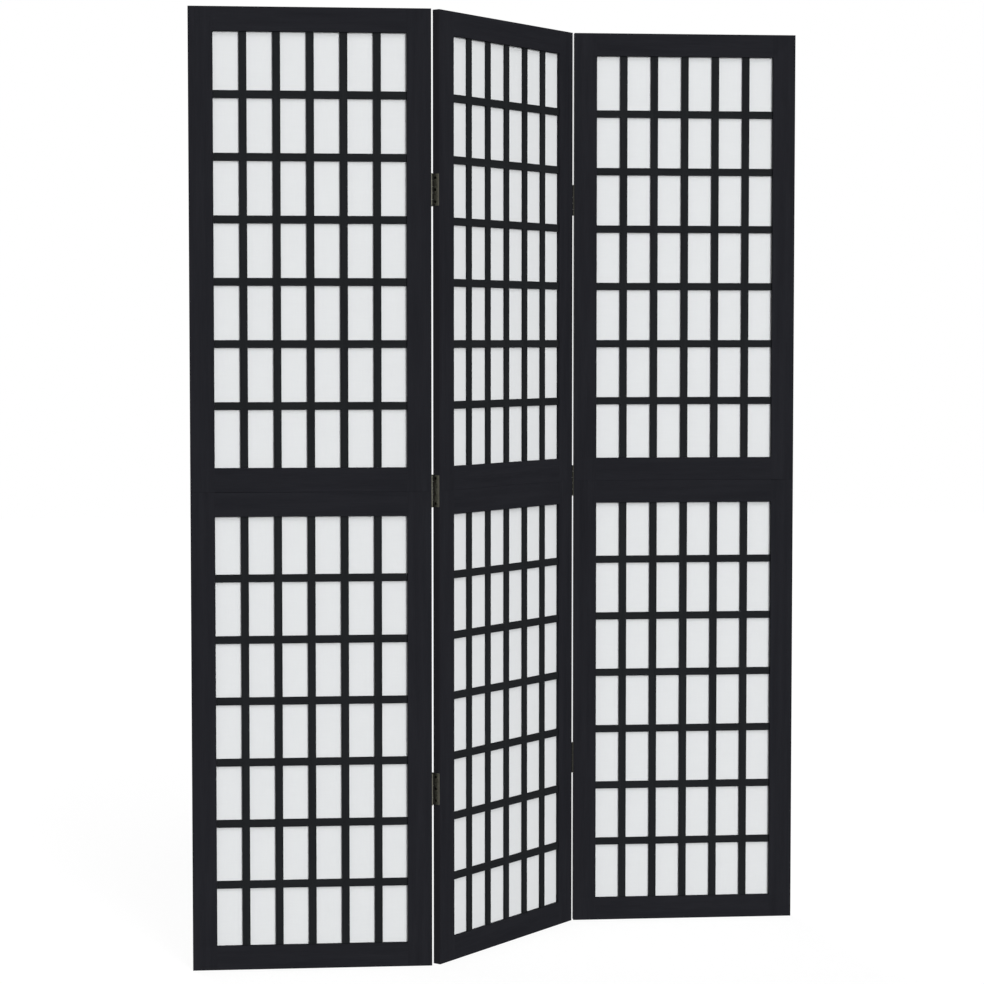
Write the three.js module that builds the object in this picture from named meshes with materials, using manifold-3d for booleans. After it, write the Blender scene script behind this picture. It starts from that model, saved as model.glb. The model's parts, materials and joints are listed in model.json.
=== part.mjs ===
// A three-panel folding screen in the shoji manner: black wooden frames, a lattice of strips on
// both faces, white paper between the lattices, and three butt hinges at each fold.
// Millimetres, +Z up. The front faces -Y, and the origin is on the floor at the middle panel's centre.

import * as THREE from "three";
import { mergeVertices } from "three/addons/utils/BufferGeometryUtils.js";
import Module from "manifold-3d";

// Panels
const PANEL_WIDTH = 450;
const PANEL_HEIGHT = 1800;
const PANEL_THICKNESS = 16;
const STILE_WIDTH = 45.5;
const RAIL_HEIGHT = 45.5;
const REST_FOLD_DEGREES = 49.6; // between each pair of panels, 0 being in line

// Gaps
const SEAM_GAP = 0.3; // between the lower and the upper half of a panel
const FIT_GAP = 0.3; // between a piece and what holds it

// Joinery: stub tenons on the rails, dowels between the halves
const TENON_THICKNESS = 6;
const TENON_SHOULDER = 6; // left above and below a tenon
const DOWEL_DIAMETER = 8;
const DOWEL_LENGTH = 25; // above the seam
const DOWEL_WALL = 3; // wood left between a dowel's socket and a mortise
const DOWEL_SIDES = 16;

// Lattice
const COLUMNS = 6;
const ROWS = 7;
const STRIP_WIDTH = 14.5;
const LATTICE_RECESS = 3; // from the face of the frame

// Paper
const PAPER_THICKNESS = 0.4;
const PAPER_EDGE = 4; // held in the groove of the frame

// Hinges
const HINGE_LENGTH = 60;
const HINGE_SPACING = 565; // from the hinge at the seam to the ones above and below it
const HINGE_PROUD = 0.5; // from the face of the panel to the axis
const KNUCKLES = 5;
const KNUCKLE_RADIUS = 2;
const KNUCKLE_SIDES = 12;
const LEAF_THICKNESS = 1.2;
const LEAF_REACH = 14.5; // across the edge of the stile, from the face on the barrel's side
const PIN_RADIUS = 1.1;
const PIN_HEAD_HEIGHT = 0.8;
const PIN_SIDES = 10;
const SCREW_RADIUS = 1.3;
const SCREW_LENGTH = 12; // in the wood
const SCREW_SIDES = 6;
const SCREW_INSET = 6.5; // from the face on the barrel's side
const OUTER_HINGE_SCREWS = [-22.5, 0, 22.5];
const SEAM_HINGE_SCREWS = [-23.8, 23.8]; // one in each half

// Sizes that follow from the ones above
const HALF_HEIGHT = (PANEL_HEIGHT - SEAM_GAP) / 2;
const SEAM_HEIGHT = PANEL_HEIGHT / 2;
const OPENING_WIDTH = PANEL_WIDTH - 2 * STILE_WIDTH;
const OPENING_HEIGHT = HALF_HEIGHT - 2 * RAIL_HEIGHT;
const TENON_LENGTH = (STILE_WIDTH - DOWEL_DIAMETER) / 2 - DOWEL_WALL - 2 * FIT_GAP;
const LATTICE_DEPTH = (PANEL_THICKNESS - PAPER_THICKNESS) / 2 - LATTICE_RECESS - FIT_GAP;
const HINGE_OFFSET = KNUCKLE_RADIUS + FIT_GAP; // from the edge of the panel to the axis
const KNUCKLE_PITCH = (HINGE_LENGTH + FIT_GAP) / KNUCKLES;
const OVERCUT = 1; // how far a solid that cuts or joins another runs past its face
const WELD_DISTANCE = 1e-4;

const HALVES = [
  { name: "lower", bottom: 0, hasDowels: true },
  { name: "upper", bottom: HALF_HEIGHT + SEAM_GAP, hasDowels: false },
];
const HINGES = [
  { name: "bottom", height: SEAM_HEIGHT - HINGE_SPACING, screws: OUTER_HINGE_SCREWS },
  { name: "centre", height: SEAM_HEIGHT, screws: SEAM_HINGE_SCREWS },
  { name: "top", height: SEAM_HEIGHT + HINGE_SPACING, screws: OUTER_HINGE_SCREWS },
];

const wood = new THREE.MeshStandardMaterial({ color: 0x242528, roughness: 0.5, metalness: 0 });
const paper = new THREE.MeshStandardMaterial({ color: 0xe9ebee, roughness: 0.9, metalness: 0 });
const bronze = new THREE.MeshStandardMaterial({ color: 0x4a4a3c, roughness: 0.4, metalness: 0.9 });
const steel = new THREE.MeshStandardMaterial({ color: 0x6a6a66, roughness: 0.35, metalness: 0.9 });

const wasm = await Module();
wasm.setup();

// --- Solids -------------------------------------------------------------------------------------

function toSolid(geometry) {
  geometry.deleteAttribute("normal");
  geometry.deleteAttribute("uv");
  const welded = mergeVertices(geometry, WELD_DISTANCE);
  const mesh = new wasm.Mesh({
    numProp: 3,
    vertProperties: new Float32Array(welded.attributes.position.array),
    triVerts: new Uint32Array(welded.index.array),
  });
  return new wasm.Manifold(mesh);
}

function toGeometry(solid) {
  const mesh = solid.getMesh();
  const geometry = new THREE.BufferGeometry();
  geometry.setAttribute("position", new THREE.BufferAttribute(mesh.vertProperties, 3));
  geometry.setIndex(new THREE.BufferAttribute(mesh.triVerts, 1));
  geometry.computeVertexNormals();
  return geometry;
}

// A box from its two ends along each axis, in either order.
function block([x0, x1], [y0, y1], [z0, z1]) {
  const geometry = new THREE.BoxGeometry(Math.abs(x1 - x0), Math.abs(y1 - y0), Math.abs(z1 - z0));
  return toSolid(geometry.translate((x0 + x1) / 2, (y0 + y1) / 2, (z0 + z1) / 2));
}

function rodAlongX(radius, sides, [x0, x1], y, z) {
  const geometry = new THREE.CylinderGeometry(radius, radius, Math.abs(x1 - x0), sides);
  return toSolid(geometry.rotateZ(Math.PI / 2).translate((x0 + x1) / 2, y, z));
}

function rodAlongZ(radius, sides, x, y, [z0, z1]) {
  const geometry = new THREE.CylinderGeometry(radius, radius, z1 - z0, sides);
  return toSolid(geometry.rotateX(Math.PI / 2).translate(x, y, (z0 + z1) / 2));
}

function joined(solids) {
  return solids.reduce((whole, solid) => whole.add(solid));
}

function namedMesh(name, solid, material) {
  const mesh = new THREE.Mesh(toGeometry(solid), material);
  mesh.name = name;
  return mesh;
}

// --- Half frames: x is across the panel from its centre, y through it, z up from the floor --------

const thickness = [-PANEL_THICKNESS / 2, PANEL_THICKNESS / 2];
const centred = (size) => [-size / 2, size / 2];
const grooveWidth = centred(PAPER_THICKNESS + 2 * FIT_GAP);

// The heights of a half frame's two rails, given the height of its bottom end.
function railSpans(bottom) {
  const top = bottom + HALF_HEIGHT;
  return [
    { name: "bottom_rail", from: bottom, to: bottom + RAIL_HEIGHT, openingSide: 1 },
    { name: "top_rail", from: top - RAIL_HEIGHT, to: top, openingSide: -1 },
  ];
}

function mortises(side, bottom) {
  const inner = (side * OPENING_WIDTH) / 2;
  return railSpans(bottom).map(({ from, to }) =>
    block(
      [inner - side * OVERCUT, inner + side * (TENON_LENGTH + FIT_GAP)],
      centred(TENON_THICKNESS + 2 * FIT_GAP),
      [from + TENON_SHOULDER - FIT_GAP, to - TENON_SHOULDER + FIT_GAP],
    ),
  );
}

function stileGroove(side, bottom) {
  const inner = (side * OPENING_WIDTH) / 2;
  const depth = PAPER_EDGE + FIT_GAP;
  const low = bottom + RAIL_HEIGHT;
  return block(
    [inner - side * OVERCUT, inner + side * depth],
    grooveWidth,
    [low - depth, low + OPENING_HEIGHT + depth],
  );
}

// Bores for the hinge screws: barrelFace is 1 where the barrel is behind the panel, -1 in front.
function screwBores(side, bottom, barrelFace) {
  const edge = (side * PANEL_WIDTH) / 2;
  const span = [edge + side * OVERCUT, edge - side * (SCREW_LENGTH + FIT_GAP)];
  const y = barrelFace * (PANEL_THICKNESS / 2 - SCREW_INSET);
  const heights = HINGES.flatMap(({ height, screws }) => screws.map((offset) => height + offset));
  return heights
    .filter((z) => z > bottom && z < bottom + HALF_HEIGHT)
    .map((z) => rodAlongX(SCREW_RADIUS + FIT_GAP, SCREW_SIDES, span, y, z));
}

function stile(side, half, barrelFace) {
  const edges = [(side * OPENING_WIDTH) / 2, (side * PANEL_WIDTH) / 2];
  const middle = (edges[0] + edges[1]) / 2;
  const top = half.bottom + HALF_HEIGHT;
  let solid = block(edges, thickness, [half.bottom, top]);
  if (half.hasDowels) {
    const dowel = [top - OVERCUT, top + SEAM_GAP + DOWEL_LENGTH];
    solid = solid.add(rodAlongZ(DOWEL_DIAMETER / 2, DOWEL_SIDES, middle, 0, dowel));
  } else {
    const socket = [half.bottom - OVERCUT, half.bottom + DOWEL_LENGTH + FIT_GAP];
    solid = solid.subtract(rodAlongZ(DOWEL_DIAMETER / 2 + FIT_GAP, DOWEL_SIDES, middle, 0, socket));
  }
  const cuts = [...mortises(side, half.bottom), stileGroove(side, half.bottom)];
  if (barrelFace) cuts.push(...screwBores(side, half.bottom, barrelFace));
  return solid.subtract(joined(cuts));
}

function rail({ from, to, openingSide }) {
  const shoulder = OPENING_WIDTH / 2 - FIT_GAP;
  const tenon = OPENING_WIDTH / 2 + TENON_LENGTH;
  const openingEdge = openingSide > 0 ? to : from;
  const body = block([-shoulder, shoulder], thickness, [from, to]);
  const tenons = block(
    [-tenon, tenon], centred(TENON_THICKNESS), [from + TENON_SHOULDER, to - TENON_SHOULDER],
  );
  const groove = block(
    [-tenon - OVERCUT, tenon + OVERCUT],
    grooveWidth,
    [openingEdge + openingSide * OVERCUT, openingEdge - openingSide * (PAPER_EDGE + FIT_GAP)],
  );
  return body.add(tenons).subtract(groove);
}

// Strips half-lapped into one grid. The openings across are equal; the cross strips' centres
// divide the height equally.
function lattice(face, bottom) {
  const outer = face * (PANEL_THICKNESS / 2 - LATTICE_RECESS);
  const depth = [outer, outer - face * LATTICE_DEPTH];
  const low = bottom + RAIL_HEIGHT;
  const across = centred(OPENING_WIDTH - 2 * FIT_GAP);
  const upright = [low + FIT_GAP, low + OPENING_HEIGHT - FIT_GAP];
  const pitch = (OPENING_WIDTH + STRIP_WIDTH) / COLUMNS;
  const strips = [];
  for (let column = 1; column < COLUMNS; column += 1) {
    const right = column * pitch - OPENING_WIDTH / 2;
    strips.push(block([right - STRIP_WIDTH, right], depth, upright));
  }
  for (let row = 1; row < ROWS; row += 1) {
    const height = low + (row * OPENING_HEIGHT) / ROWS;
    strips.push(block(across, depth, [height - STRIP_WIDTH / 2, height + STRIP_WIDTH / 2]));
  }
  return joined(strips);
}

function paperSheet(bottom) {
  const low = bottom + RAIL_HEIGHT - PAPER_EDGE;
  const height = OPENING_HEIGHT + 2 * PAPER_EDGE;
  return block(centred(OPENING_WIDTH + 2 * PAPER_EDGE), centred(PAPER_THICKNESS), [low, low + height]);
}

// leftBarrel and rightBarrel: 1 for a hinge barrel behind that edge, -1 in front, 0 for no hinge.
function panel(name, leftBarrel, rightBarrel) {
  const group = new THREE.Group();
  for (const half of HALVES) {
    const prefix = `${name}_${half.name}`;
    group.add(namedMesh(`${prefix}_left_stile`, stile(-1, half, leftBarrel), wood));
    group.add(namedMesh(`${prefix}_right_stile`, stile(1, half, rightBarrel), wood));
    for (const span of railSpans(half.bottom)) {
      group.add(namedMesh(`${prefix}_${span.name}`, rail(span), wood));
    }
    group.add(namedMesh(`${prefix}_front_lattice`, lattice(-1, half.bottom), wood));
    group.add(namedMesh(`${prefix}_back_lattice`, lattice(1, half.bottom), wood));
    group.add(namedMesh(`${prefix}_paper`, paperSheet(half.bottom), paper));
  }
  return group;
}

// --- Hinges: the axis is z, the panel lies towards -x and the barrel stands on its +y face --------

function knuckleSpan(index) {
  const from = index * KNUCKLE_PITCH - HINGE_LENGTH / 2;
  return [from, from + KNUCKLE_PITCH - FIT_GAP];
}

// A leaf with its screws. It has every second knuckle, starting with firstKnuckle.
function leaf(firstKnuckle, screws) {
  const depth = [-KNUCKLE_RADIUS, LEAF_THICKNESS - KNUCKLE_RADIUS];
  const notch = -(KNUCKLE_RADIUS + FIT_GAP);
  const pieces = [block(depth, [-HINGE_PROUD - LEAF_REACH, notch], centred(HINGE_LENGTH))];
  for (let index = firstKnuckle; index < KNUCKLES; index += 2) {
    const span = knuckleSpan(index);
    pieces.push(block(depth, [notch - OVERCUT, 0], span));
    pieces.push(rodAlongZ(KNUCKLE_RADIUS, KNUCKLE_SIDES, 0, 0, span));
  }
  const screwEnds = [-HINGE_OFFSET - SCREW_LENGTH, LEAF_THICKNESS / 2 - KNUCKLE_RADIUS];
  for (const z of screws) {
    pieces.push(rodAlongX(SCREW_RADIUS, SCREW_SIDES, screwEnds, -HINGE_PROUD - SCREW_INSET, z));
  }
  const bore = rodAlongZ(PIN_RADIUS + FIT_GAP, PIN_SIDES, 0, 0, centred(HINGE_LENGTH + 2 * OVERCUT));
  return joined(pieces).subtract(bore);
}

function pin() {
  const under = HINGE_LENGTH / 2 + FIT_GAP;
  const end = under + PIN_HEAD_HEIGHT;
  return joined([
    rodAlongZ(PIN_RADIUS, PIN_SIDES, 0, 0, [-end, end]),
    rodAlongZ(KNUCKLE_RADIUS, KNUCKLE_SIDES, 0, 0, [-end, -under]),
    rodAlongZ(KNUCKLE_RADIUS, KNUCKLE_SIDES, 0, 0, [under, end]),
  ]);
}

// A leaf on the panel that lies at panelSide of the axis (-1 left, 1 right), turned from the way
// that leaf() draws it by half turns, which a leaf's even spacing above and below allows.
function placedLeaf(name, firstKnuckle, hinge, panelSide, barrelFace) {
  const mesh = namedMesh(name, leaf(firstKnuckle, hinge.screws), bronze);
  mesh.position.z = hinge.height;
  mesh.rotation.set(barrelFace < 0 ? Math.PI : 0, panelSide > 0 ? Math.PI : 0, 0);
  return mesh;
}

// --- The screen: the middle panel stays, and the outer ones turn about the hinge axes ------------

const restFold = THREE.MathUtils.degToRad(REST_FOLD_DEGREES);
const axisAcross = PANEL_WIDTH / 2 + HINGE_OFFSET;
const axisOut = PANEL_THICKNESS / 2 + HINGE_PROUD;

// The outer panel on one side of the middle one, and the hinges between them, in a group whose
// origin is the fold's axis. Here x and y are the middle panel's own.
function foldedSide(name, side, barrelFace) {
  const axis = new THREE.Group();
  axis.position.set(side * axisAcross, barrelFace * axisOut, 0);
  const turning = new THREE.Group();
  turning.rotation.z = -restFold;
  axis.add(turning);
  const outerPanel = panel(name, side > 0 ? barrelFace : 0, side < 0 ? barrelFace : 0);
  outerPanel.position.set(side * axisAcross, -barrelFace * axisOut, 0);
  turning.add(outerPanel);
  for (const hinge of HINGES) {
    const prefix = `${name}_fold_${hinge.name}`;
    turning.add(placedLeaf(`${prefix}_outer_leaf`, 0, hinge, side, barrelFace));
    axis.add(placedLeaf(`${prefix}_inner_leaf`, 1, hinge, -side, barrelFace));
    const hingePin = namedMesh(`${prefix}_pin`, pin(), steel);
    hingePin.position.z = hinge.height;
    axis.add(hingePin);
  }
  return axis;
}

const screen = new THREE.Group();
screen.rotation.z = restFold;
screen.add(panel("middle", 1, -1));
screen.add(foldedSide("left", -1, 1));
screen.add(foldedSide("right", 1, -1));
export default screen;
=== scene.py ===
"""Looks of a three-panel shoji folding screen: black stained wood, white paper, dark bronze hinges."""

import json
import math
from itertools import product

import bmesh
import bpy
from mathutils import Matrix, Vector, noise


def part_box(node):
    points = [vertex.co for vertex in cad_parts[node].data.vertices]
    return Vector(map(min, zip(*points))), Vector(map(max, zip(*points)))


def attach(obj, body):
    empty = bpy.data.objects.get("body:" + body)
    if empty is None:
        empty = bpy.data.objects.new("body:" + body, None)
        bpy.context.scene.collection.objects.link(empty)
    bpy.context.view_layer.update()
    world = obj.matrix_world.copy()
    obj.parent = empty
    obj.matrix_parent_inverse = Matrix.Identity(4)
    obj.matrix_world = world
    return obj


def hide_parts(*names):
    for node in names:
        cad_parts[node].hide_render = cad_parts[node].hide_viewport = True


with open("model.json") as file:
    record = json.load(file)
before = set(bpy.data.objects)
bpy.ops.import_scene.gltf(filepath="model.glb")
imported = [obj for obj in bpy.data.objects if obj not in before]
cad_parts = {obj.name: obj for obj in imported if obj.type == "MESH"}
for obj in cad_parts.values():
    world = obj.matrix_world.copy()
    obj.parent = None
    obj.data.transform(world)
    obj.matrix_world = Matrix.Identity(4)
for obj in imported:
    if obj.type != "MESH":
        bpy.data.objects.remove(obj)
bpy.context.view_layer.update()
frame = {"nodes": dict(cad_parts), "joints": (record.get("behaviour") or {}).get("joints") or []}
nodes = frame["nodes"]

MM = 0.001
X, Y, Z = range(3)
PANELS = ("left", "middle", "right")
HALVES = ("lower", "upper")
MEMBERS = ("left_stile", "right_stile", "bottom_rail", "top_rail")
HINGES = ("bottom", "centre", "top")

# Camera: metres and degrees. It stands left of the middle and looks a little to the right and down.
CAMERA_PLACE = (-0.4661, -4.9401, 1.1854)
CAMERA_TURN = 5.093
CAMERA_TILT = 2.884
CAMERA_LENS = 93.023
CAMERA_SENSOR = 36
CAMERA_SHIFT = -0.025

# Light and floor
WORLD_LIGHT = 0.3
FLOOR_COLOUR = 0.2
FLOOR_GLOW = 0.875
FLOOR_HALF_SIZE = 12
FLOOR_HEIGHT = -0.1 * MM

# Distances and angles of the modelling
FIT_GAP = 0.3 * MM  # what the CAD leaves between two pieces
HAIRLINE = 0.02 * MM  # what the finished pieces leave of it in a tight joint
TOUCH = 0.02 * MM  # a point this near to a plane lies on it
SHY = 0.02 * MM  # keeps the faces of two solids out of one plane before they are joined
CAD_WELD = TOUCH / 4  # points of a CAD mesh that are nearer than this are one
WELD = TOUCH / 20  # the same for finished pieces
ON_AXIS = 1e-9
FLAT = math.radians(0.5)
SHARP = math.radians(30)
ROUND_STEP = 15  # degrees between the points of a rounded profile
NORMAL_WEIGHT = 80

# Wood
FRAME_ARRIS = 0.6 * MM
STRIP_ARRIS = 0.4 * MM
ARRIS_STEPS = 3
COLUMNS = 6
ROWS = 7
STRIP_WIDTH = 14.5 * MM
FRAME_TONES = ((0.0127, 0.0130, 0.0162), (0.0179, 0.0183, 0.0223))
SIDE_PAINTED_LIGHT_TONES = ((0.0190, 0.0186, 0.0226), (0.0266, 0.0265, 0.0314))  # a stile's outer side, lighter than its front as painted light
STRIP_TONES = ((0.0120, 0.0130, 0.0145), (0.0171, 0.0185, 0.0204))
WOOD_CONTRAST = (0.36, 0.64)  # the values of the grain that show the dark and the light tone
WOOD_ROUGHNESS = (0.82, 0.66)  # from the dark tone to the light one
WOOD_SPECULAR = 0.02

# Paper
PAPER_CELLS = (24, 54)  # of a sheet's mesh, across and up
COCKLE = 0.12 * MM
COCKLE_LENGTH = 0.075
COCKLE_EDGE = 2  # cells from the held edge to the full cockle
COCKLE_SEED = 1.7  # makes each sheet's cockle its own
PAPER_TONES = ((0.744, 0.759, 0.770), (0.783, 0.799, 0.809))
PAPER_CONTRAST = (0.3, 0.7)
PAPER_ROUGHNESS = 0.85
PAPER_SPECULAR = 0.15

# Hinges
HINGE_LENGTH = 60 * MM
HINGE_PROUD = 0.5 * MM  # from the face of the panel to the axis
KNUCKLES = 5
KNUCKLE_RADIUS = 2 * MM
KNUCKLE_SIDES = 40
LEAF_THICKNESS = 1.2 * MM
LEAF_REACH = 14.5 * MM
LEAF_CORNER = 1.2 * MM
LEAF_ARRIS = 0.15 * MM
LEAF_ARRIS_STEPS = 2
WEB_END = -0.3 * MM  # a web stops just short of the axis, inside its barrel
PIN_RADIUS = 1.1 * MM
PIN_HEAD = 0.8 * MM
BRONZE_TONES = ((0.020, 0.020, 0.016), (0.138, 0.134, 0.106))
PIN_TONES = ((0.040, 0.039, 0.033), (0.075, 0.073, 0.065))
METAL_CONTRAST = (0.35, 0.68)
METAL_SPECULAR = 0.2
METAL_DULLER = 0.1  # added to the roughness at the dark tone
METAL_SHINIER = 0.06  # taken from it at the light tone
PAINTED_LIGHT_START = 0.2  # the share of the leaf's reach at which its painted light sets in
PAINTED_LIGHT_TONES = (-0.2, 0.18)  # what the painted light adds to the tone there (painted shade towards the barrel) and at the free edge (painted highlight)

# Screws
OUTER_HINGE_SCREWS = (-22.5 * MM, 0.0, 22.5 * MM)
SEAM_HINGE_SCREWS = (-23.8 * MM, 23.8 * MM)
SCREW_SIDES = 32
SCREW_INSET = 6.5 * MM
SCREW_LENGTH = 12 * MM
SCREW_RADIUS = 1.3 * MM
SCREW_PLAY = 0.1 * MM  # between the shank and its hole
SCREW_TIP = 2.5 * MM
SCREW_TAPER = 4 * MM  # from the end to the full shank
HEAD_RADIUS = 2.7 * MM
HEAD_PLAY = 0.06 * MM
HEAD_SUNK = 0.05 * MM
HEAD_DOME = 0.25 * MM
RECESS_LENGTH = 2.9 * MM
RECESS_WIDTH = 0.6 * MM
RECESS_DEPTH = 0.7 * MM
SCREW_TONES = ((0.004, 0.004, 0.004), (0.010, 0.010, 0.009))


# --- Node trees -----------------------------------------------------------------------------------

def new_material(name):
    material = bpy.data.materials.new(name)
    material.use_nodes = True
    tree = material.node_tree
    return material, tree, tree.nodes["Principled BSDF"]


def add(tree, kind, **inputs):
    node = tree.nodes.new(kind)
    for name, value in inputs.items():
        node.inputs[name.replace("_", " ")].default_value = value
    return node


def noise_texture(tree, vector, scale, detail, roughness=0.5):
    texture = add(tree, "ShaderNodeTexNoise", Scale=scale, Detail=detail, Roughness=roughness)
    tree.links.new(vector, texture.inputs["Vector"])
    return texture.outputs["Fac"]


def grain(tree, axis, stretch, **texture):
    """Noise on object coordinates that are scaled by stretch along the axis, and by 1 across it."""
    coordinates = tree.nodes.new("ShaderNodeTexCoord")
    info = tree.nodes.new("ShaderNodeObjectInfo")
    shift = tree.nodes.new("ShaderNodeVectorMath")
    shift.operation = "ADD"
    tree.links.new(coordinates.outputs["Object"], shift.inputs[0])
    tree.links.new(info.outputs["Random"], shift.inputs[1])
    mapping = tree.nodes.new("ShaderNodeMapping")
    mapping.inputs["Scale"].default_value = [stretch if i == axis else 1.0 for i in (X, Y, Z)]
    tree.links.new(shift.outputs[0], mapping.inputs["Vector"])
    return noise_texture(tree, mapping.outputs["Vector"], **texture)


def combine(tree, operation, first, second):
    node = tree.nodes.new("ShaderNodeMath")
    node.operation = operation
    for socket, value in zip(node.inputs, (first, second)):
        if isinstance(value, (int, float)):
            socket.default_value = value
        else:
            tree.links.new(value, socket)
    return node.outputs["Value"]


def weighted_sum(tree, first, first_share, second, second_share):
    first_part = combine(tree, "MULTIPLY", first, first_share)
    second_part = combine(tree, "MULTIPLY", second, second_share)
    return combine(tree, "ADD", first_part, second_part)


def between(tree, value, low, high):
    """value, from 0 to 1, mapped to low to high."""
    node = add(tree, "ShaderNodeMapRange", To_Min=low, To_Max=high)
    tree.links.new(value, node.inputs["Value"])
    return node.outputs["Result"]


def ramp(tree, value, contrast, tones):
    """A colour from the first tone to the second, between the two values of contrast."""
    node = tree.nodes.new("ShaderNodeValToRGB")
    for point, position, tone in zip(node.color_ramp.elements, contrast, tones):
        point.position = position
        point.color = (*tone, 1.0)
    tree.links.new(value, node.inputs["Fac"])
    return node.outputs["Color"]


def bump(tree, height, strength, distance):
    node = add(tree, "ShaderNodeBump", Strength=strength, Distance=distance)
    tree.links.new(height, node.inputs["Height"])
    return node.outputs["Normal"]


# --- Materials ------------------------------------------------------------------------------------

def wood_material(name, axis, tones):
    """Thin black matt stain over a straight grain that runs along the axis."""
    material, tree, shader = new_material(name)
    fibres = grain(tree, axis, stretch=0.03, scale=900.0, detail=4.0, roughness=0.6)
    rings = grain(tree, axis, stretch=0.05, scale=95.0, detail=2.0, roughness=0.4)
    patches = grain(tree, axis, stretch=0.3, scale=14.0, detail=2.0)
    relief = weighted_sum(tree, fibres, 0.45, rings, 0.35)
    tone = combine(tree, "ADD", relief, combine(tree, "MULTIPLY", patches, 0.2))
    tree.links.new(ramp(tree, tone, WOOD_CONTRAST, tones), shader.inputs["Base Color"])
    tree.links.new(between(tree, tone, *WOOD_ROUGHNESS), shader.inputs["Roughness"])
    tree.links.new(bump(tree, relief, strength=0.35, distance=0.05 * MM), shader.inputs["Normal"])
    shader.inputs["Specular IOR Level"].default_value = WOOD_SPECULAR
    return material


def paper_material():
    """White machine-made screen paper: long fibres, faint clouding, no gloss."""
    material, tree, shader = new_material("screen_paper")
    coordinates = tree.nodes.new("ShaderNodeTexCoord")
    clouds = noise_texture(tree, coordinates.outputs["Object"], scale=24.0, detail=3.0)
    fibres = grain(tree, Z, stretch=0.12, scale=420.0, detail=5.0, roughness=0.7)
    strands = grain(tree, X, stretch=0.1, scale=260.0, detail=4.0, roughness=0.7)
    relief = weighted_sum(tree, fibres, 0.4, strands, 0.3)
    tone = combine(tree, "ADD", relief, combine(tree, "MULTIPLY", clouds, 0.3))
    tree.links.new(ramp(tree, tone, PAPER_CONTRAST, PAPER_TONES), shader.inputs["Base Color"])
    tree.links.new(bump(tree, relief, strength=0.25, distance=0.04 * MM), shader.inputs["Normal"])
    shader.inputs["Roughness"].default_value = PAPER_ROUGHNESS
    shader.inputs["Specular IOR Level"].default_value = PAPER_SPECULAR
    return material


def metal_material(name, tones, roughness, metallic, painted_light=False):
    """Dark satin metal with faint upright drawing lines and a patchy tone.

    With the painted light, it is darker at the hinge's barrel as painted shade and grows lighter
    towards the free edge of the leaf as painted highlight.
    """
    material, tree, shader = new_material(name)
    lines = grain(tree, Z, stretch=0.02, scale=5000.0, detail=3.0, roughness=0.6)
    patches = grain(tree, Z, stretch=1.0, scale=260.0, detail=3.0, roughness=0.6)
    tone = weighted_sum(tree, lines, 0.4, patches, 0.6)
    # painted shade near the barrel, painted highlight towards the leaf's free edge
    if painted_light:
        coordinates = tree.nodes.new("ShaderNodeTexCoord")
        parts = tree.nodes.new("ShaderNodeSeparateXYZ")
        tree.links.new(coordinates.outputs["Object"], parts.inputs["Vector"])
        across = add(
            tree, "ShaderNodeMapRange", From_Min=-PAINTED_LIGHT_START * LEAF_REACH, From_Max=-LEAF_REACH,
        )
        tree.links.new(parts.outputs["Y"], across.inputs["Value"])
        painted_light_shift = between(tree, across.outputs["Result"], *PAINTED_LIGHT_TONES)
        tone = combine(tree, "ADD", tone, painted_light_shift)
    tree.links.new(ramp(tree, tone, METAL_CONTRAST, tones), shader.inputs["Base Color"])
    dullness = between(tree, tone, low=roughness + METAL_DULLER, high=roughness - METAL_SHINIER)
    tree.links.new(dullness, shader.inputs["Roughness"])
    tree.links.new(bump(tree, lines, strength=0.2, distance=0.01 * MM), shader.inputs["Normal"])
    shader.inputs["Metallic"].default_value = metallic
    shader.inputs["Specular IOR Level"].default_value = METAL_SPECULAR
    return material


frame_upright = wood_material("black_wood_upright", Z, FRAME_TONES)
frame_across = wood_material("black_wood_across", X, FRAME_TONES)
# the outer side of each stile gets lighter tones: painted light
frame_side_painted_light = wood_material("black_wood_side_painted_light", Z, SIDE_PAINTED_LIGHT_TONES)
strip_upright = wood_material("black_strip_upright", Z, STRIP_TONES)
strip_across = wood_material("black_strip_across", X, STRIP_TONES)
paper = paper_material()
# the leaves carry painted shade at the barrel and a painted highlight at the free edge
bronze = metal_material("hinge_bronze", BRONZE_TONES, roughness=0.5, metallic=0.35, painted_light=True)
pin_metal = metal_material("hinge_pin", PIN_TONES, roughness=0.34, metallic=0.6)
screw_black = metal_material("screw_black", SCREW_TONES, roughness=0.4, metallic=0.8)


# --- Places ---------------------------------------------------------------------------------------

def centre(node):
    low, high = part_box(node)
    return (low + high) / 2


def panel_place(panel):
    """The panel's own frame: x across it, y through it, z up from the floor."""
    left = centre(f"{panel}_upper_left_stile")
    right = centre(f"{panel}_upper_right_stile")
    middle = (left + right) / 2
    across = right - left
    turn = Matrix.Rotation(math.atan2(across.y, across.x), 4, "Z")
    return Matrix.Translation((middle.x, middle.y, 0)) @ turn


places = {panel: panel_place(panel) for panel in PANELS}


def panel_turn(panel):
    return places[panel].to_3x3().to_4x4()


def local_mesh(node, place):
    """A copy of a CAD node's mesh in the frame of place, and its lowest and highest corners."""
    mesh = nodes[node].data.copy()
    mesh.materials.clear()
    mesh.transform(place.inverted())
    points = [v.co for v in mesh.vertices]
    low = Vector([min(p[i] for p in points) for i in (X, Y, Z)])
    high = Vector([max(p[i] for p in points) for i in (X, Y, Z)])
    return mesh, low, high


def local_box(node, place):
    mesh, low, high = local_mesh(node, place)
    bpy.data.meshes.remove(mesh)
    return low, high


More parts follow.
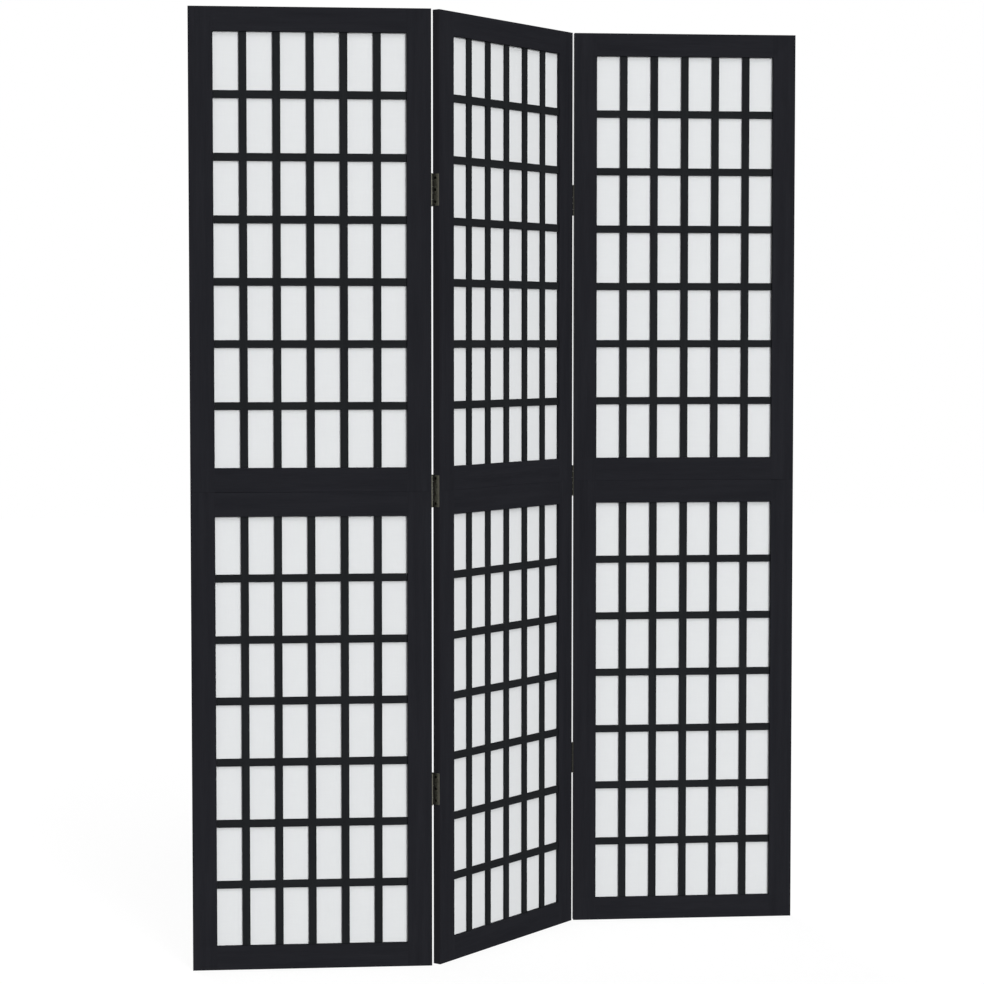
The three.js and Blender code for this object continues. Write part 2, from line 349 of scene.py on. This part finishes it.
def put(name, mesh, place, body, materials, node=None):
    """A finished piece that rides on a body and, where a node is given, takes its place."""
    piece = bpy.data.objects.new(name, mesh)
    bpy.context.scene.collection.objects.link(piece)
    piece.matrix_world = place
    for material in materials:
        if material.name not in mesh.materials:
            mesh.materials.append(material)
    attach(piece, body)
    if node:
        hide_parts(node)
    return piece


def smooth(piece):
    """Smooth shading that leaves flat faces flat and the edges marked sharp as they are."""
    for face in piece.data.polygons:
        face.use_smooth = True
    modifier = piece.modifiers.new("even_normals", "WEIGHTED_NORMAL")
    modifier.weight = NORMAL_WEIGHT
    modifier.keep_sharp = True


# --- Solids ---------------------------------------------------------------------------------------

def as_object(shape):
    """A working object from a bmesh, which is freed."""
    mesh = bpy.data.meshes.new("working")
    bmesh.ops.recalc_face_normals(shape, faces=shape.faces)
    shape.to_mesh(mesh)
    shape.free()
    piece = bpy.data.objects.new("working", mesh)
    bpy.context.scene.collection.objects.link(piece)
    return piece


def add_box(shape, low, high):
    """Adds a box from low to high to the shape, and returns its vertices."""
    verts = bmesh.ops.create_cube(shape, size=1.0)["verts"]
    for v in verts:
        v.co = Vector([low[i] + (v.co[i] + 0.5) * (high[i] - low[i]) for i in (X, Y, Z)])
    return verts


def cut_or_join(base, tool, operation):
    """Cuts the tool out of the base or joins it on, and deletes the tool."""
    modifier = base.modifiers.new("boolean", "BOOLEAN")
    modifier.operation = operation
    modifier.solver = "EXACT"
    modifier.object = tool
    evaluated = base.evaluated_get(bpy.context.evaluated_depsgraph_get())
    mesh = bpy.data.meshes.new_from_object(evaluated)
    base.modifiers.clear()
    base.data = mesh
    bpy.data.objects.remove(tool)


def finished_mesh(piece):
    """Takes the mesh out of a working object, deletes the object and marks the corners sharp."""
    mesh = piece.data
    bpy.data.objects.remove(piece)
    mesh.materials.clear()
    shape = bmesh.new()
    shape.from_mesh(mesh)
    bmesh.ops.remove_doubles(shape, verts=shape.verts, dist=WELD)
    bmesh.ops.dissolve_degenerate(shape, dist=WELD, edges=shape.edges)
    for edge in shape.edges:
        edge.smooth = edge.calc_face_angle(0.0) < SHARP
    shape.to_mesh(mesh)
    shape.free()
    return mesh


# --- Frame members --------------------------------------------------------------------------------

seam_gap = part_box("left_upper_left_stile")[0].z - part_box("left_lower_top_rail")[1].z
stile_inner = local_box("middle_lower_right_stile", places["middle"])[0].x


def on_plane(verts, axis, value):
    return all(abs(v.co[axis] - value) < TOUCH for v in verts)


def shift_plane(shape, axis, old, new):
    """Moves the vertices that lie on the plane at old to new."""
    for v in shape.verts:
        if on_plane([v], axis, old):
            v.co[axis] = new


def has_hinges(panel, side):
    """Whether the panel's left (-1) or right (1) edge is at a fold."""
    return panel == "middle" or (panel == "left") == (side > 0)


def close_seam(shape, half, low, high):
    """Brings the end of a member at the seam close to the other half."""
    end, side = (high, 1) if half == "lower" else (low, -1)
    seam = end.z + side * (seam_gap / 2 - HAIRLINE / 2)
    shift_plane(shape, Z, end.z, seam)
    end.z = seam


def close_fold(shape, side, low, high):
    """Brings the wood of a stile's outer side close to the leaves."""
    edge = high if side > 0 else low
    at_leaves = edge.x + side * (FIT_GAP - HAIRLINE)
    shift_plane(shape, X, edge.x, at_leaves)
    edge.x = at_leaves


def close_shoulders(shape, low, high):
    """Brings the shoulders of a rail close to the stiles."""
    shoulder = stile_inner - HAIRLINE
    shift_plane(shape, X, low.x, -shoulder)
    shift_plane(shape, X, high.x, shoulder)
    low.x, high.x = -shoulder, shoulder


def mark_arrises(shape, upright, low, high, opening):
    """Gives the bevel's weight to the free edges of a member's body, and not to those in a joint."""
    weights = shape.edges.layers.float.new("bevel_weight_edge")
    inner = min((low.x, high.x), key=abs)
    for edge in shape.edges:
        faces = [
            (axis, bound[axis]) for axis in (X, Y, Z) for bound in (low, high)
            if on_plane(edge.verts, axis, bound[axis])
        ]
        if len(faces) != 2:
            continue
        if upright:
            along_opening = all(opening[0] - TOUCH < v.co.z < opening[1] + TOUCH for v in edge.verts)
            in_joint = (X, inner) in faces and not along_opening
        else:
            in_joint = any(axis == X for axis, _ in faces)
        if not in_joint:
            edge[weights] = 1.0


def frame_member(panel, half, member):
    """A stile or rail with its tight joints closed and its free edges rounded."""
    node = f"{panel}_{half}_{member}"
    place = places[panel]
    mesh, low, high = local_mesh(node, place)
    upright = member.endswith("stile")
    bottom_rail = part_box(f"{panel}_{half}_bottom_rail")
    top_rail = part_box(f"{panel}_{half}_top_rail")
    opening = (bottom_rail[1].z, top_rail[0].z)
    if upright:  # the dowels stand out of a stile's body
        low.z = bottom_rail[0].z
        high.z = top_rail[1].z
    else:  # the tenons stand out of a rail's body, which is as wide as the lattice
        lattice_low, lattice_high = local_box(f"{panel}_{half}_front_lattice", place)
        low.x = lattice_low.x
        high.x = lattice_high.x

    shape = bmesh.new()
    shape.from_mesh(mesh)
    bmesh.ops.remove_doubles(shape, verts=shape.verts, dist=CAD_WELD)
    bmesh.ops.dissolve_limit(shape, angle_limit=FLAT, verts=shape.verts, edges=shape.edges)
    if upright or member == ("top_rail" if half == "lower" else "bottom_rail"):
        close_seam(shape, half, low, high)
    if upright:
        side = 1 if member == "right_stile" else -1
        if has_hinges(panel, side):
            close_fold(shape, side, low, high)
        for height in opening:  # so that an arris can start and end there
            everything = list(shape.verts) + list(shape.edges) + list(shape.faces)
            bmesh.ops.bisect_plane(shape, geom=everything, plane_co=(0, 0, height), plane_no=(0, 0, 1))
    else:
        close_shoulders(shape, low, high)
    mark_arrises(shape, upright, low, high, opening)
    outer = max((low.x, high.x), key=abs)
    for face in shape.faces:
        # the outer side of an upright takes the second material, whose lighter tones are painted light
        face.material_index = int(upright and on_plane(face.verts, X, outer))
    middle = (low + high) / 2
    bmesh.ops.translate(shape, verts=shape.verts, vec=-middle)
    bmesh.ops.recalc_face_normals(shape, faces=shape.faces)
    shape.to_mesh(mesh)
    shape.free()

    piece = put(
        f"{node}_finished", mesh, place @ Matrix.Translation(middle), f"{panel}_panel",
        [frame_upright, frame_side_painted_light] if upright else [frame_across], node,
    )
    arris = piece.modifiers.new("arris", "BEVEL")
    arris.limit_method = "WEIGHT"
    arris.width = FRAME_ARRIS
    arris.segments = ARRIS_STEPS
    arris.use_clamp_overlap = False
    weld = piece.modifiers.new("weld", "WELD")
    weld.merge_threshold = WELD
    smooth(piece)


for panel, half, member in product(PANELS, HALVES, MEMBERS):
    frame_member(panel, half, member)


# --- Lattices -------------------------------------------------------------------------------------

strip_materials = [strip_upright, strip_across]


def add_strip(shape, low, high, long_axis, material):
    """Adds a strip from low to high, as a closed box whose four long edges are rounded."""
    verts = add_box(shape, low, high)
    edges = {e for v in verts for e in v.link_edges}
    along = [e for e in edges if abs((e.verts[0].co - e.verts[1].co)[long_axis]) > TOUCH]
    for face in {f for v in verts for f in v.link_faces}:
        face.material_index = strip_materials.index(material)
    bmesh.ops.bevel(
        shape, geom=along, offset=STRIP_ARRIS, offset_type="OFFSET", segments=ARRIS_STEPS,
        profile=0.5, affect="EDGES", clamp_overlap=False, material=-1,
    )


def lattice_mesh():
    """One lattice around its own centre, with its strips halved together into one solid."""
    low, high = local_box("middle_lower_front_lattice", places["middle"])
    end = (high - low) / 2
    opening = end * 2 + Vector((2, 0, 2)) * FIT_GAP
    uprights = bmesh.new()
    for column in range(1, COLUMNS):
        right = column * (opening.x + STRIP_WIDTH) / COLUMNS - opening.x / 2
        low = Vector((right - STRIP_WIDTH, -end.y, -end.z))
        add_strip(uprights, low, Vector((right, end.y, end.z)), Z, strip_upright)
    cross_strips = bmesh.new()
    for row in range(1, ROWS):
        height = (row / ROWS - 0.5) * opening.z
        low = Vector((-end.x, -end.y, height - STRIP_WIDTH / 2))
        add_strip(cross_strips, low, Vector((end.x, end.y, height + STRIP_WIDTH / 2)), X, strip_across)
    lattice, tool = as_object(uprights), as_object(cross_strips)
    for piece in (lattice, tool):
        for material in strip_materials:
            piece.data.materials.append(material)
    cut_or_join(lattice, tool, "UNION")
    mesh = lattice.data
    bpy.data.objects.remove(lattice)
    return mesh


one_lattice = lattice_mesh()
for panel, half, face in product(PANELS, HALVES, ("front", "back")):
    node = f"{panel}_{half}_{face}_lattice"
    place = Matrix.Translation(centre(node)) @ panel_turn(panel)
    strips = put(
        f"{panel}_{half}_{face}_strips", one_lattice, place, f"{panel}_panel",
        strip_materials, node,
    )
    smooth(strips)


# --- Paper ----------------------------------------------------------------------------------------

def paper_mesh(name, size, seed):
    """A sheet as a closed slab around its centre, with the faint cockle of stretched paper."""
    columns, rows = PAPER_CELLS
    mesh = bpy.data.meshes.new(name)
    shape = bmesh.new()
    layers = []
    for side in (-1, 1):
        grid = []
        for row in range(rows + 1):
            line = []
            for column in range(columns + 1):
                x = (column / columns - 0.5) * size.x
                z = (row / rows - 0.5) * size.z
                from_edge = min(column, columns - column, row, rows - row)
                wave = noise.noise(Vector((x, seed, z)) / COCKLE_LENGTH) * COCKLE
                y = side * size.y / 2 + wave * min(from_edge / COCKLE_EDGE, 1)
                line.append(shape.verts.new((x, y, z)))
            grid.append(line)
        layers.append(grid)
    front, back = layers
    for row, column in product(range(rows), range(columns)):
        corners = ((row, column), (row, column + 1), (row + 1, column + 1), (row + 1, column))
        shape.faces.new([front[r][c] for r, c in corners])
        shape.faces.new([back[r][c] for r, c in reversed(corners)])
    rim = [(0, c) for c in range(columns)] + [(r, columns) for r in range(rows)]
    rim += [(rows, c) for c in range(columns, 0, -1)] + [(r, 0) for r in range(rows, 0, -1)]
    for (r0, c0), (r1, c1) in zip(rim, rim[1:] + rim[:1]):
        shape.faces.new((front[r1][c1], front[r0][c0], back[r0][c0], back[r1][c1]))
    bmesh.ops.recalc_face_normals(shape, faces=shape.faces)
    shape.to_mesh(mesh)
    shape.free()
    return mesh


for number, (panel, half) in enumerate(product(PANELS, HALVES)):
    node = f"{panel}_{half}_paper"
    low, high = local_box(node, places[panel])
    size = high - low
    sheet = put(
        f"{node}_sheet", paper_mesh(node, size, COCKLE_SEED * number),
        places[panel] @ Matrix.Translation((low + high) / 2),
        f"{panel}_panel", [paper], node,
    )
    smooth(sheet)


# --- Hinges: the axis is z, the panel lies towards -x and the barrel stands on its +y face --------

def turned(profile, sides):
    """A solid of revolution about z from (radius, height) points, which start and end on the axis."""
    shape = bmesh.new()
    angles = [2 * math.pi * i / sides for i in range(sides)]
    circle = [(math.cos(a), math.sin(a)) for a in angles]
    rings = []
    for radius, height in profile:
        if radius < ON_AXIS:
            rings.append([shape.verts.new((0, 0, height))])
        else:
            rings.append([shape.verts.new((radius * x, radius * y, height)) for x, y in circle])
    for lower, upper in zip(rings, rings[1:]):
        for i in range(sides):
            corners = (
                lower[i % len(lower)], lower[(i + 1) % len(lower)],
                upper[(i + 1) % len(upper)], upper[i % len(upper)],
            )
            shape.faces.new(list(dict.fromkeys(corners)))
    return as_object(shape)


def dome(radius, height, rise, start=0):
    """(radius, height) points of a dome's profile, from its rim to the last one before the axis."""
    angles = [math.radians(degrees) for degrees in range(start, 90, ROUND_STEP)]
    return [(radius * math.cos(a), height + rise * math.sin(a)) for a in angles]


def knuckle_span(index):
    pitch = (HINGE_LENGTH + FIT_GAP) / KNUCKLES
    low = index * pitch - HINGE_LENGTH / 2
    return low, low + pitch - FIT_GAP


def leaf_outline(first_knuckle):
    """(y, z) points round the flat of a leaf: a web to each knuckle, and two rounded free corners."""
    edge = -HINGE_PROUD - LEAF_REACH
    inner = -(KNUCKLE_RADIUS + FIT_GAP)
    top = HINGE_LENGTH / 2
    outline = []
    for index in range(first_knuckle, KNUCKLES, 2):
        low, high = knuckle_span(index)
        outline += [(inner, low), (WEB_END, low), (WEB_END, high), (inner, high)]
    if first_knuckle:
        outline = [(inner, -top), *outline, (inner, top)]
    else:  # the end webs run along the ends of the leaf
        outline = outline[1:-1]
    for side in (1, -1):
        for degrees in range(0, 90 + ROUND_STEP, ROUND_STEP):
            angle = math.radians(degrees if side > 0 else 90 - degrees)
            outline.append((
                edge + LEAF_CORNER * (1 - math.sin(angle)),
                side * (top - LEAF_CORNER * (1 - math.cos(angle))),
            ))
    return outline


def plate(first_knuckle):
    """The flat of a leaf, with the edges of its outward face eased."""
    back, front = -KNUCKLE_RADIUS, LEAF_THICKNESS - KNUCKLE_RADIUS
    shape = bmesh.new()
    face = shape.faces.new([shape.verts.new((back, y, z)) for y, z in leaf_outline(first_knuckle)])
    made = bmesh.ops.extrude_face_region(shape, geom=[face])
    verts = [g for g in made["geom"] if isinstance(g, bmesh.types.BMVert)]
    bmesh.ops.translate(shape, verts=verts, vec=(front - back, 0, 0))
    rim = [e for e in shape.edges if on_plane(e.verts, X, front)]
    bmesh.ops.bevel(
        shape, geom=rim, offset=LEAF_ARRIS, offset_type="OFFSET", segments=LEAF_ARRIS_STEPS,
        profile=0.5, affect="EDGES", clamp_overlap=False,
    )
    return as_object(shape)


def screw_place(z):
    """A screw's z runs out of the leaf's face. Its 0 is where the leaf lies on the wood."""
    place = Matrix.Translation((-KNUCKLE_RADIUS, -HINGE_PROUD - SCREW_INSET, z))
    return place @ Matrix.Rotation(math.pi / 2, 4, "Y")


def countersink(z):
    """The hollow for a screw at z, which runs out past both faces of the leaf."""
    slope = (HEAD_RADIUS - SCREW_RADIUS) / LEAF_THICKNESS
    mouth = HEAD_RADIUS + slope * SHY
    below = -MM
    above = 2 * LEAF_THICKNESS
    sink = turned([
        (0, below), (SCREW_RADIUS, below), (SCREW_RADIUS + slope * SHY, SHY),
        (mouth, LEAF_THICKNESS + SHY), (mouth, above), (0, above),
    ], SCREW_SIDES)
    sink.data.transform(screw_place(z))
    return sink


def barrel(index):
    """The solid of one knuckle, a little short of its span at both ends."""
    low, high = knuckle_span(index)
    low, high = low + SHY, high - SHY
    flat = KNUCKLE_RADIUS - LEAF_ARRIS
    return turned([
        (0, low), (flat, low), (KNUCKLE_RADIUS, low + LEAF_ARRIS),
        (KNUCKLE_RADIUS, high - LEAF_ARRIS), (flat, high), (0, high),
    ], KNUCKLE_SIDES)


def leaf_mesh(first_knuckle, screws):
    """A leaf with every second knuckle. The bore comes last, since the solver loses faces otherwise."""
    leaf = plate(first_knuckle)
    for z in screws:
        cut_or_join(leaf, countersink(z), "DIFFERENCE")
    for index in range(first_knuckle, KNUCKLES, 2):
        cut_or_join(leaf, barrel(index), "UNION")
    radius = PIN_RADIUS + FIT_GAP
    end = HINGE_LENGTH
    bore = turned([(0, -end), (radius, -end), (radius, end), (0, end)], KNUCKLE_SIDES)
    cut_or_join(leaf, bore, "DIFFERENCE")
    return finished_mesh(leaf)


def screw_mesh():
    """A pointed screw with a low domed head and a cross recess."""
    face = LEAF_THICKNESS - HEAD_SUNK
    head = HEAD_RADIUS - HEAD_PLAY
    shank = SCREW_RADIUS - SCREW_PLAY
    end = -SCREW_LENGTH - FIT_GAP
    screw = turned([
        (0, end), (SCREW_RADIUS * 0.5, end + SCREW_TIP), (shank, end + SCREW_TAPER), (shank, 0),
        (head, face), *dome(head, face, HEAD_DOME, ROUND_STEP), (0, face + HEAD_DOME),
    ], SCREW_SIDES)
    bottom = face - RECESS_DEPTH
    top = face + MM
    for x, y in ((RECESS_LENGTH, RECESS_WIDTH), (RECESS_WIDTH, RECESS_LENGTH)):
        slot = bmesh.new()
        add_box(slot, (-x / 2, -y / 2, bottom), (x / 2, y / 2, top))
        cut_or_join(screw, as_object(slot), "DIFFERENCE")
    return finished_mesh(screw)


def pin_mesh():
    """A pin with the same low domed head at both ends."""
    under = HINGE_LENGTH / 2 + FIT_GAP
    cap = dome(KNUCKLE_RADIUS, under + PIN_HEAD * 0.5, PIN_HEAD * 0.5)
    top = [(PIN_RADIUS, under), (KNUCKLE_RADIUS, under), *cap, (0, under + PIN_HEAD)]
    bottom = [(radius, -height) for radius, height in reversed(top)]
    return finished_mesh(turned(bottom + top, KNUCKLE_SIDES))


def several(mesh, matrices):
    """One mesh that holds a copy of mesh at each matrix."""
    shape = bmesh.new()
    for matrix in matrices:
        start = len(shape.verts)
        shape.from_mesh(mesh)
        shape.verts.ensure_lookup_table()
        bmesh.ops.transform(shape, matrix=matrix, verts=shape.verts[start:])
    made = bpy.data.meshes.new("screws")
    shape.to_mesh(made)
    shape.free()
    return made


one_screw = screw_mesh()
one_pin = pin_mesh()
screw_rows = (OUTER_HINGE_SCREWS, SEAM_HINGE_SCREWS)
leaves = {(first, screws): leaf_mesh(first, screws) for first, screws in product((0, 1), screw_rows)}
screw_sets = {screws: several(one_screw, [screw_place(z) for z in screws]) for screws in screw_rows}


def leaf_place(axis, panel, panel_side, barrel_face):
    """Turns the hinge's own frame to the panel, by half turns about x and y."""
    turn = panel_turn(panel)
    if barrel_face < 0:
        turn = turn @ Matrix.Rotation(math.pi, 4, "X")
    if panel_side > 0:
        turn = turn @ Matrix.Rotation(math.pi, 4, "Y")
    return Matrix.Translation(axis) @ turn


def hinge_leaf(name, first_knuckle, screws, place, panel):
    """A leaf and the screws that hold it on the panel."""
    leaf = put(
        f"{name}_plate", leaves[first_knuckle, screws], place, f"{panel}_panel",
        [bronze], f"{name}_leaf",
    )
    smooth(leaf)
    heads = put(
        f"{name}_screws", screw_sets[screws], place, f"{panel}_panel", [screw_black],
    )
    smooth(heads)


axes = {joint["name"]: Vector(joint["pos_m"]) for joint in frame["joints"]}
for (outer, side, barrel_face), hinge in product((("left", -1, 1), ("right", 1, -1)), HINGES):
    prefix = f"{outer}_fold_{hinge}"
    axis = axes[f"{outer}_fold"].copy()
    axis.z = centre(f"{prefix}_pin").z
    screws = SEAM_HINGE_SCREWS if hinge == "centre" else OUTER_HINGE_SCREWS
    outer_place = leaf_place(axis, outer, side, barrel_face)
    inner_place = leaf_place(axis, "middle", -side, barrel_face)
    hinge_leaf(f"{prefix}_outer", 0, screws, outer_place, outer)
    hinge_leaf(f"{prefix}_inner", 1, screws, inner_place, "middle")
    pin = put(
        f"{prefix}_hinge_pin", one_pin, inner_place, "middle_panel",
        [pin_metal], f"{prefix}_pin",
    )
    smooth(pin)


# --- Camera, light and floor ----------------------------------------------------------------------

camera_data = bpy.data.cameras.new("camera")
camera = bpy.data.objects.new("camera", camera_data)
bpy.context.scene.collection.objects.link(camera)
camera.location = CAMERA_PLACE
camera.rotation_euler = (math.radians(90 - CAMERA_TILT), 0, -math.radians(CAMERA_TURN))
camera_data.lens = CAMERA_LENS
camera_data.sensor_width = CAMERA_SENSOR
camera_data.shift_y = CAMERA_SHIFT
bpy.context.scene.camera = camera


def seen_directly(tree):
    """1 for camera, glossy and transmission rays, and 0 for the others."""
    path = tree.nodes.new("ShaderNodeLightPath")
    seen = combine(tree, "MAXIMUM", path.outputs["Is Camera Ray"], path.outputs["Is Glossy Ray"])
    return combine(tree, "MAXIMUM", seen, path.outputs["Is Transmission Ray"])


world = bpy.data.worlds.new("studio")
bpy.context.scene.world = world
world.use_nodes = True
sky = world.node_tree.nodes["Background"]
sky.inputs["Color"].default_value = (1, 1, 1, 1)
strength = between(world.node_tree, seen_directly(world.node_tree), WORLD_LIGHT, 1.0)
world.node_tree.links.new(strength, sky.inputs["Strength"])


def sun(name, azimuth, elevation, spread, share):
    """A distant lamp, with its angles in degrees and its azimuth to the right of the front.

    Its share is what it gives a surface that faces it, where 1 shows a colour as it is written.
    """
    data = bpy.data.lights.new(name, "SUN")
    data.energy = share * math.pi
    data.angle = math.radians(spread)
    light = bpy.data.objects.new(name, data)
    light.rotation_euler = (math.radians(90 - elevation), 0, math.radians(azimuth))
    bpy.context.scene.collection.objects.link(light)


sun("front_light", azimuth=20, elevation=11, spread=18, share=0.68)
sun("top_light", azimuth=20, elevation=47, spread=30, share=0.24)
sun("back_light", azimuth=200, elevation=15, spread=30, share=0.7)

floor_shape = bmesh.new()
bmesh.ops.create_grid(floor_shape, x_segments=1, y_segments=1, size=FLOOR_HALF_SIZE)
floor_mesh = bpy.data.meshes.new("floor")
floor_shape.to_mesh(floor_mesh)
floor_shape.free()
floor = bpy.data.objects.new("floor", floor_mesh)
floor.location.z = FLOOR_HEIGHT
bpy.context.scene.collection.objects.link(floor)
floor_material = bpy.data.materials.new("floor")
floor_material.use_nodes = True
floor_tree = floor_material.node_tree
floor_tree.nodes.clear()
diffuse = add(floor_tree, "ShaderNodeBsdfDiffuse", Color=(FLOOR_COLOUR, FLOOR_COLOUR, FLOOR_COLOUR, 1))
glow = add(floor_tree, "ShaderNodeEmission", Color=(1, 1, 1, 1))
glow_strength = combine(floor_tree, "MULTIPLY", seen_directly(floor_tree), FLOOR_GLOW)
floor_tree.links.new(glow_strength, glow.inputs["Strength"])
both = floor_tree.nodes.new("ShaderNodeAddShader")
output = floor_tree.nodes.new("ShaderNodeOutputMaterial")
floor_tree.links.new(diffuse.outputs[0], both.inputs[0])
floor_tree.links.new(glow.outputs[0], both.inputs[1])
floor_tree.links.new(both.outputs[0], output.inputs["Surface"])
floor_mesh.materials.append(floor_material)

bpy.context.scene.view_settings.view_transform = "Standard"
